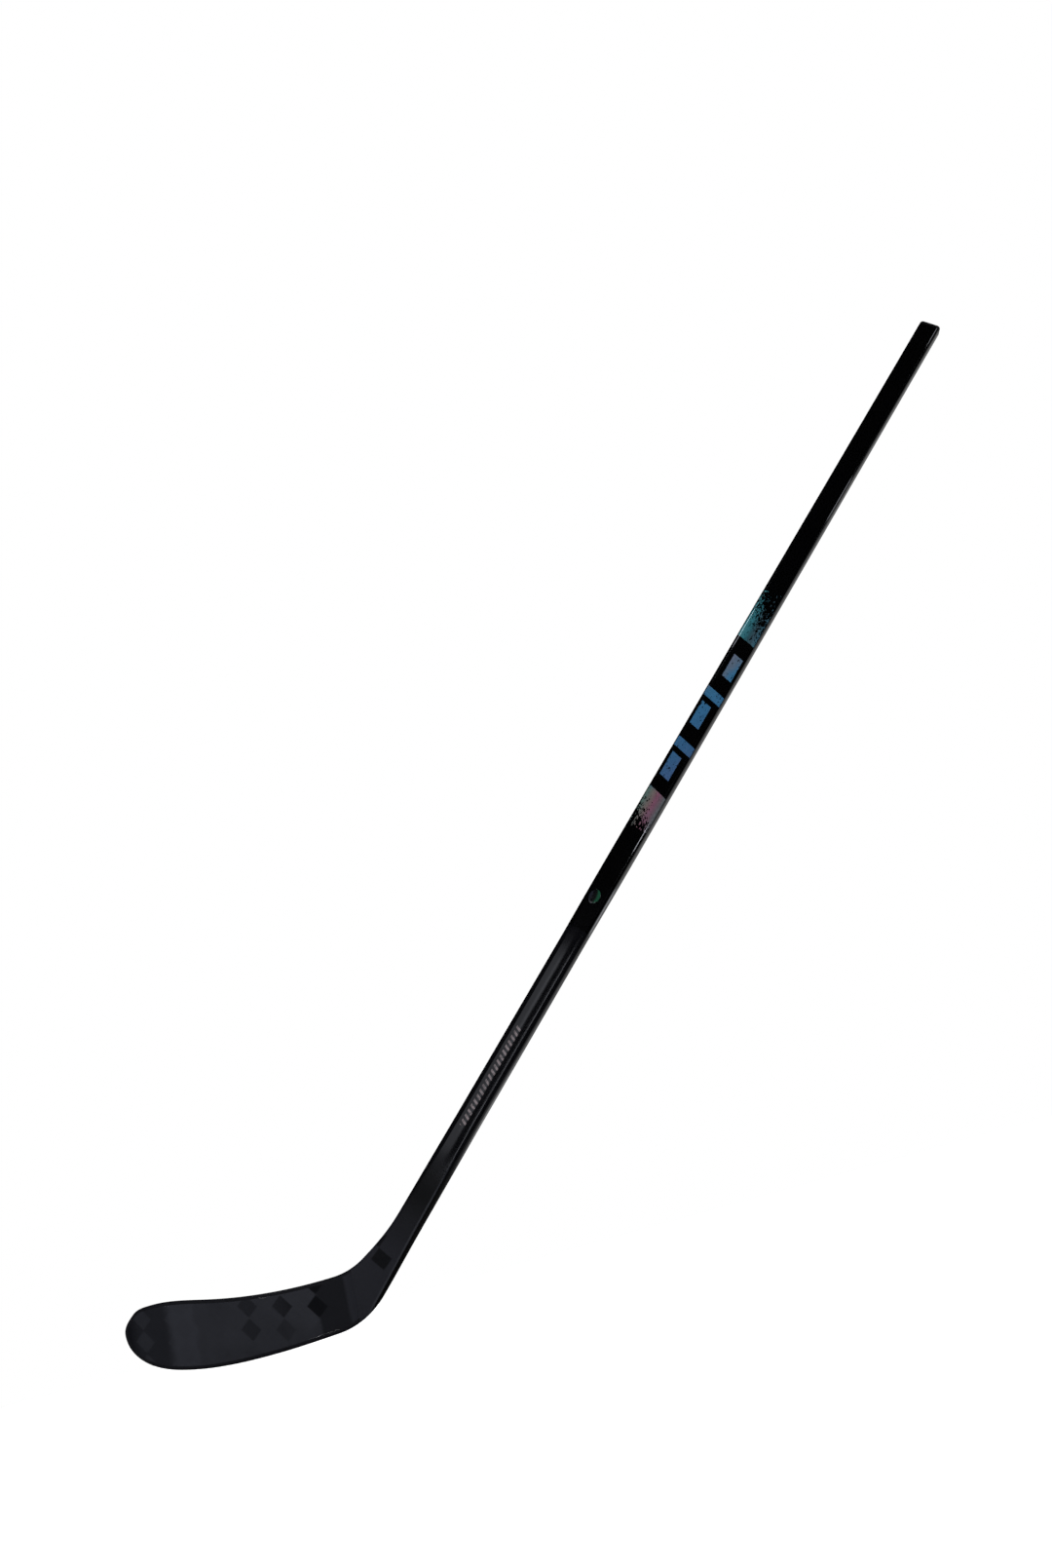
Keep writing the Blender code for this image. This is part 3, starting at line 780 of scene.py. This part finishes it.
def lower_shaft_finish():
    """Satin carbon that turns matte, with tow checks, towards the blade, with a painted highlight and
    painted shade along its lower corner.
    """
    finish = Finish("satin_carbon", Specular_IOR_Level=0.5)
    along, across = finish.along(), finish.across()
    matte = finish.step(along, *SATIN_FOOT)
    threads = fibres(finish, LIE, 0.0006, 60.0)
    satin = finish.mix(finish.step(threads, 0.3, 0.75), (0.0012, 0.0012, 0.0016), (0.0034, 0.0035, 0.0046))
    colour, weave, _ = blade_colour(finish)
    colour = finish.mix(finish.step(along, *SHAFT_TONE), colour, MATTE_SHAFT)
    colour = finish.mix(finish.step(along, *BLACK_TONE, 0.0, 0.8), colour, MATTE_BLACK)
    # painted highlight along the lower corner, and painted shade on the narrow face beyond it
    corner = finish.math("MULTIPLY_ADD", along, CORNER_DRIFT, finish.math("SUBTRACT", across, CORNER_PLACE))
    foot = finish.step(along, *CORNER_FOOT)
    side = finish.math("MULTIPLY", finish.step(corner, *PAINTED_SHADE_SIDE), foot)
    painted_highlight_line = finish.math("MULTIPLY", finish.inside(corner, -CORNER_HALF, CORNER_HALF, CORNER_SOFT), foot)
    colour = finish.mix(painted_highlight_line, finish.mix(side, colour, MATTE_BLACK), MATTE_LIGHT)
    colour = finish.mix(matte, satin, colour)
    finish.drive("Base Color", finish.mix(printed_ticks(finish, along, across), colour, TICK_COLOUR))
    rough = finish.math("MULTIPLY_ADD", matte, 0.38, finish.math("MULTIPLY_ADD", threads, 0.04, 0.05))
    finish.drive("Roughness", rough)
    finish.bump(finish.math("ADD", threads, weave), 0.00004, 0.12)
    return finish.material


def plug_finish():
    """Moulded end plug: fine spark-eroded texture."""
    finish = Finish("end_plug_plastic")
    grain = finish.noise(finish.place, 1600.0, 3.0, 0.6)
    finish.drive("Base Color", finish.mix(grain, (0.0020, 0.0020, 0.0022), (0.0060, 0.0060, 0.0068)))
    finish.drive("Roughness", finish.step(grain, 0.2, 0.8, 0.35, 0.55))
    finish.bump(grain, 0.00003, 0.5)
    return finish.material


BADGE_HEIGHT = 0.5445
BADGE_HALF_LENGTH = 0.0100
BADGE_HALF_WIDTH = 0.0070
BADGE_OFFSET = -0.0026


def badge_finish():
    """A plain oval label whose film shifts from slate through black to green."""
    finish = Finish("label_film", Metallic=0.1, Coat_Weight=1.0, Coat_Roughness=0.06)
    up = finish.math("DIVIDE", finish.math("SUBTRACT", finish.along(), BADGE_HEIGHT), BADGE_HALF_LENGTH)
    out = finish.math("DIVIDE", finish.math("SUBTRACT", finish.across(), BADGE_OFFSET), BADGE_HALF_WIDTH)
    radius = finish.math("SQRT", finish.math("MULTIPLY_ADD", up, up, finish.math("MULTIPLY", out, out)))
    swept = finish.math("MULTIPLY_ADD", up, 0.15, out)
    swept = finish.math("MULTIPLY_ADD", finish.math("MULTIPLY", up, up), 0.35, swept)
    hue = finish.ramp(finish.step(swept, -1.0, 1.0), [
        (0.00, (0.011, 0.013, 0.022)),
        (0.16, (0.009, 0.010, 0.016)),
        (0.30, (0.002, 0.002, 0.003)),
        (0.70, (0.002, 0.003, 0.003)),
        (0.79, (0.004, 0.036, 0.018)),
        (0.92, (0.005, 0.060, 0.028)),
    ])
    grain = finish.noise(finish.place, 900.0, 2.0)
    rim = finish.step(radius, 0.96, 0.86)
    film = finish.math("MULTIPLY", rim, finish.step(grain, 0.1, 0.6, 0.6, 1.0))
    finish.drive("Base Color", finish.mix(film, GLOSS_LIGHT, hue))
    finish.drive("Roughness", finish.step(grain, 0.2, 0.8, 0.12, 0.25))
    return finish.material


def inner_carbon_finish():
    finish = Finish("inner_carbon")
    threads = fibres(finish, LIE, 0.0008)
    finish.drive("Base Color", finish.mix(threads, (0.006, 0.006, 0.007), (0.022, 0.022, 0.025)))
    finish.drive("Roughness", finish.step(threads, 0.2, 0.8, 0.42, 0.6))
    finish.bump(threads, 0.00005, 0.4)
    return finish.material


def foam_finish(name, dark, light):
    finish = Finish(name, Specular_IOR_Level=0.2)
    cell = finish.cells(finish.place, 1400.0)
    finish.drive("Base Color", finish.mix(finish.step(cell, 0.1, 0.8), light, dark))
    finish.drive("Roughness", finish.step(cell, 0.0, 0.8, 0.8, 0.95))
    finish.bump(cell, 0.0002, 0.5)
    return finish.material


# ---------------------------------------------------------------- shaft pieces
def sleeve(name, low, high, finish, slot, node):
    heights = heights_between(low, high)
    rings = [shaft_ring(height, 0.0) for height in heights]
    rings += [shaft_ring(height, COAT_THICKNESS) for height in reversed(heights)]
    piece(name, loft(rings, closed=True), finish, slot, node)


def make_sleeves():
    top = LENGTH - FLANGE - 0.0002
    gloss = gloss_finish("gloss_lacquer")
    sleeve("upper_lacquer", FOIL_TOP + FIT, top, gloss, "gloss_coat", "gloss_coat_upper")
    sleeve("foil_band", FOIL_FOOT, FOIL_TOP, foil_finish(), "foil", "foil_decal")
    sleeve("lower_lacquer", COAT_FOOT, FOIL_FOOT - FIT, gloss, "gloss_coat", "gloss_coat_lower")


def make_tube(finish):
    foot, top = JOINT + FIT, LENGTH - FLANGE - 0.0002
    outside = [shaft_ring(h, BARE_RECESS) for h in heights_between(foot, COAT_FOOT - FIT)]
    outside += [shaft_ring(h, COAT_RECESS) for h in heights_between(COAT_FOOT - FIT, top)]
    bore = COAT_RECESS + TUBE_WALL - BORE_EASE
    inside_rings = [shaft_ring(h, bore) for h in heights_between(foot, top)]
    tube = loft(outside + inside_rings[::-1], closed=True)
    piece("carbon_tube", tube, finish, "shaft_carbon", "shaft_tube")


def make_end_plug():
    under, foot = LENGTH - FLANGE, LENGTH - SPIGOT_LENGTH
    rings = [
        shaft_ring(under, SPIGOT_INSET + SPIGOT_WALL),
        shaft_ring(foot, SPIGOT_INSET + SPIGOT_WALL),
        shaft_ring(foot, SPIGOT_INSET),
        shaft_ring(under, SPIGOT_INSET),
        shaft_ring(under, 0.0003),
        shaft_ring(under + 0.0003, 0.0),
    ]
    for step in range(9):
        angle = math.radians(90.0) * step / 8
        height = LENGTH - FLANGE_ROUND * (1.0 - math.sin(angle))
        rings.append(shaft_ring(height, FLANGE_ROUND * (1.0 - math.cos(angle))))
    rings.append(shaft_ring(LENGTH, 0.0034))
    rings.append(shaft_ring(LENGTH - 0.0005, 0.0040))
    piece("butt_plug", loft(rings), plug_finish(), "end_plug", "end_plug")


def make_badge():
    """A thin oval label that follows the backhand face, with a soft rim."""
    rims = [(1.0, 0.0), (1.0, 0.00012), (0.985, 0.0002), (0.95, 0.00024), (0.7, 0.00025), (0.35, 0.00026)]
    rings = []
    for radius, lift in rims:
        ring = []
        for i in range(72):
            turn = math.tau * i / 72
            height = BADGE_HEIGHT + BADGE_HALF_LENGTH * radius * math.cos(turn)
            across = BADGE_OFFSET + BADGE_HALF_WIDTH * radius * math.sin(turn)
            ring.append(shaft_point(height, across, -face_depth(height, across) - 3 * FIT - lift))
        rings.append(ring)
    piece("oval_label", loft(rings), badge_finish(), "badge", "badge_label")


def make_hosel(finish):
    angles = [LIE * i / HOSEL_STEPS for i in range(HOSEL_STEPS + 1)]
    lower, upper = inset_path(LOWER_PATH, 0.0), inset_path(UPPER_PATH, 0.0)
    outside = [hosel_ring(angle, 0.0, lower, upper) for angle in angles]
    lower, upper = inset_path(LOWER_PATH, HOSEL_WALL), inset_path(UPPER_PATH, HOSEL_WALL)
    hollow = [hosel_ring(angle, HOSEL_WALL, lower, upper) for angle in reversed(angles)]
    piece("hosel", loft(outside + hollow, closed=True), finish, "shaft_carbon", "hosel_shell")


# ---------------------------------------------------------------- blade pieces
def skin_grid(depth_share):
    """Points over the blade inside its edge plies, at a share of half its depth plus an offset."""
    inset = EDGE + FIT
    lower, upper = inset_path(LOWER_PATH, inset), inset_path(UPPER_PATH, inset)
    start, end = SEAM_X - 0.0001, TOE_X + inset + 0.0001
    grid = []
    for i in range(SKIN_STEPS + 1):
        x = start + (end - start) * math.sin(math.radians(90.0) * i / SKIN_STEPS)
        foot = place_at(lower, lambda point: point.x, x)
        head = place_at(upper, lambda point: point.x, x)
        row = []
        for j in range(SKIN_COLUMNS + 1):
            z = foot.y + (head.y - foot.y) * j / SKIN_COLUMNS
            row.append(bent(x, z, depth_share(x)))
        grid.append(row)
    return grid


def make_skins():
    finish = blade_finish()
    for name, node, sign in (("backhand_face", "backhand_skin", -1), ("forehand_face", "forehand_skin", 1)):
        outer = skin_grid(lambda x: sign * blade_depth(x) / 2)
        inner = skin_grid(lambda x: sign * (blade_depth(x) / 2 - SKIN))
        piece(name, slab(outer, inner), finish, "blade_carbon", node)


def edge_ply(path):
    """A strip along the outline: flat where it meets the skins and core, rounded outside."""
    rings = []
    for place, inward in path:
        half = blade_depth(place.x) / 2
        section_points = [(EDGE, half), (EDGE, 0.0), (EDGE, -half)]
        for step in range(EDGE_STEPS + 1):
            angle = math.pi * step / EDGE_STEPS
            section_points.append((half * EDGE_ROUNDNESS * (1.0 - math.sin(angle)), -half * math.cos(angle)))
        ring = []
        for depth, side in section_points:
            point = place + inward * depth
            ring.append(bent(min(point.x, SEAM_X - 0.0001), point.y, side))
        rings.append(ring)
    return loft(rings)


def make_edges():
    finish = edge_finish()
    round_toe = [pair for pair in LOWER_PATH[:-1] + UPPER_PATH if pair[0].x < TOE_SPLIT_X]
    pieces = {
        "sole_edge": path_between(LOWER_PATH, SEAM_X - 0.0001, TOE_SPLIT_X + FIT),
        "toe_edge": [path_at(LOWER_PATH, TOE_SPLIT_X), *round_toe, path_at(UPPER_PATH, TOE_SPLIT_X)],
        "top_edge": path_between(UPPER_PATH, SEAM_X - 0.0001, TOE_SPLIT_X + FIT),
    }
    for node, path in pieces.items():
        piece("blade_" + node, edge_ply(path), finish, "edge_carbon", node)


def dress_insides():
    """The CAD pieces inside the stick keep their shape and get their own materials."""
    carbon = inner_carbon_finish()
    blade_foam = foam_finish("blade_foam", (0.40, 0.37, 0.30), (0.66, 0.64, 0.58))
    shaft_foam = foam_finish("shaft_foam", (0.34, 0.29, 0.19), (0.60, 0.54, 0.41))
    finishes = {
        "tenon": carbon,
        "blade_rib": carbon,
        "toe_web": carbon,
        "heel_core": blade_foam,
        "lower_core": blade_foam,
        "upper_core": blade_foam,
        "toe_core": blade_foam,
        "shaft_foam_plug": shaft_foam,
    }
    for node, finish in finishes.items():
        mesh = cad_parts[node].data
        mesh.materials.clear()
        mesh.materials.append(finish)


# ---------------------------------------------------------------- camera
PICTURE_HEIGHT = 1609
FOCAL_PIXELS = 1228.7
CAMERA_FROM_HEEL = Vector((0.2711, -1.4090, 0.0218))
CAMERA_YAW = math.radians(-2.350)
CAMERA_PITCH = math.radians(21.049)
CAMERA_ROLL = math.radians(15.521)
CAMERA = HEEL + CAMERA_FROM_HEEL


def make_camera():
    data = bpy.data.cameras.new("camera")
    data.lens = FOCAL_PIXELS * data.sensor_width / PICTURE_HEIGHT
    data.clip_start, data.clip_end = 0.01, 200.0
    camera = bpy.data.objects.new("camera", data)
    turn = Matrix.Rotation(CAMERA_YAW, 4, "Z") @ Matrix.Rotation(CAMERA_PITCH, 4, "X")
    turn = turn @ Matrix.Rotation(CAMERA_ROLL, 4, "Y") @ Matrix.Rotation(math.radians(90.0), 4, "X")
    camera.matrix_world = Matrix.Translation(CAMERA) @ turn
    bpy.context.scene.collection.objects.link(camera)
    bpy.context.scene.camera = camera


# ---------------------------------------------------------------- studio
FLOOR_RADIUS = 40.0


def make_floor():
    """A pale disc at the ice's level that looks endless. Gloss sees it lit behind the stick only,
    as in a studio whose camera side is hung with black."""
    bm = bmesh.new()
    bmesh.ops.create_circle(bm, cap_ends=True, segments=96, radius=FLOOR_RADIUS)
    bmesh.ops.translate(bm, verts=bm.verts, vec=Vector((HEEL.x, 0.0, ICE - 0.0002)))
    mesh = bpy.data.meshes.new("floor")
    bm.to_mesh(mesh)
    bm.free()
    floor = bpy.data.objects.new("floor", mesh)
    bpy.context.scene.collection.objects.link(floor)
    finish = Finish("pale_floor", Roughness=0.9, Specular_IOR_Level=0.0, Emission_Color=(1.0, 1.0, 1.0, 1.0))
    behind = finish.reach(SIDE)
    right = finish.step(finish.reach((1.0, 0.0, 0.0)), 0.22, 0.42)
    in_gloss = finish.math("MULTIPLY_ADD", right, 0.95, 0.05)
    in_gloss = finish.math("MULTIPLY", in_gloss, finish.step(behind, -0.25, 0.0, 0.0, 0.55))
    in_gloss = finish.math("MULTIPLY", in_gloss, finish.step(behind, 0.0, 2.5, 1.0, 0.4))
    finish.drive("Base Color", finish.step(finish.ray("Glossy"), 0.0, 1.0, 0.95, in_gloss))
    finish.drive("Emission Strength", finish.math("MULTIPLY", finish.ray("Camera"), 0.5))
    mesh.materials.append(finish.material)


def make_world():
    """An even white room for the eye and for soft light. Gloss sees it dark, apart from the lower
    right behind the stick, which draws the grey line along the shaft's lower narrow face."""
    world = bpy.data.worlds.new("studio")
    world.use_nodes = True
    world.cycles.sampling_method = "NONE"
    graph = Graph(world.node_tree)
    way = graph.nodes.new("ShaderNodeTexCoord").outputs["Generated"]
    behind = graph.dot(way, SIDE)
    lower_right = graph.step(graph.dot(way, ACROSS), -0.04, 0.06)
    lit = graph.math("MULTIPLY", lower_right, graph.step(behind, -0.30, 0.0))
    in_gloss = graph.math("MULTIPLY_ADD", lit, graph.step(behind, -0.4, 0.9, 0.55, 0.22), 0.003)
    room = graph.step(graph.ray("Diffuse"), 0.0, 1.0, 1.0, 1.06)
    strength = graph.step(graph.ray("Glossy"), 0.0, 1.0, room, in_gloss)
    graph.feed(graph.nodes["Background"].inputs["Strength"], strength)
    graph.nodes["Background"].inputs["Color"].default_value = (1.0, 1.0, 1.0, 1.0)
    bpy.context.scene.world = world


def softbox(name, place, towards, long_axis, length, breadth, radiance):
    """A rectangular light that the camera doesn't see. Its long side lies along long_axis."""
    data = bpy.data.lights.new(name, "AREA")
    data.shape = "RECTANGLE"
    data.size, data.size_y = length, breadth
    data.energy = radiance * math.pi * length * breadth
    data.color = (0.93, 0.96, 1.06)
    back = (place - towards).normalized()
    first = (long_axis - back * long_axis.dot(back)).normalized()
    second = back.cross(first)
    light = bpy.data.objects.new(name, data)
    light.matrix_world = Matrix.Translation(place) @ Matrix((first, second, back)).transposed().to_4x4()
    light.visible_camera = False
    bpy.context.scene.collection.objects.link(light)
    return light


def mirrored(height, turn, distance):
    """The place that the shaft at that height mirrors to the camera, where turn is the light's
    direction round the shaft, from the backhand face towards the lower narrow face."""
    spot = shaft_point(height, 0.0, -SHAFT_DEPTH / 2)
    lean = -(CAMERA - spot).normalized().dot(UP)
    round_way = FACE_ACROSS * math.sin(turn) - FACE_SIDE * math.cos(turn)
    return spot + (UP * lean + round_way * math.sqrt(1.0 - lean * lean)) * distance


def reflection(name, low, high, turn, breadth, radiance, distance):
    """A softbox that only gloss shows, as a line along the shaft between two heights."""
    near, far = mirrored(low, turn, distance), mirrored(high, turn, distance)
    target = shaft_point((low + high) / 2, 0.0, 0.0)
    light = softbox(name, (near + far) / 2, target, far - near, (far - near).length, breadth, radiance)
    light.visible_diffuse = False


def make_lights():
    middle = (cad_low + cad_high) / 2
    key = softbox("key", middle + Vector((-1.2, -1.8, 2.2)), middle, Vector((1, 0, 0)), 1.6, 1.6, 0.9)
    key.visible_glossy = False
    reflection("streak", 0.19, 0.47, math.radians(-15.7), 0.33, 0.70, 2.6)
    reflection("streak_core", 0.23, 0.46, math.radians(-13.3), 0.08, 0.55, 2.6)
    reflection("corner_line", 0.10, 0.47, math.radians(-6.3), 0.08, 2.2, 2.6)
    reflection("glint_butt", 1.488, 1.522, math.radians(24.0), 0.40, 3.0, 1.6)
    reflection("glint_grip", 1.157, 1.225, math.radians(57.0), 0.36, 2.4, 1.0)
    reflection("glint_foil_foot", 0.618, 0.652, math.radians(14.0), 0.45, 9.0, 1.6)
    reflection("glint_foil_top", 0.925, 0.985, math.radians(-37.0), 0.30, 9.0, 1.6)
    reflection("rim_bright", 0.500, 0.560, math.radians(125.0), 0.35, 1.2, 0.36)


lower_carbon = lower_shaft_finish()
make_end_plug()
make_sleeves()
make_tube(lower_carbon)
make_badge()
make_hosel(lower_carbon)
make_skins()
make_edges()
dress_insides()
make_camera()
make_floor()
make_world()
make_lights()
bpy.context.scene.view_settings.view_transform = "Standard"
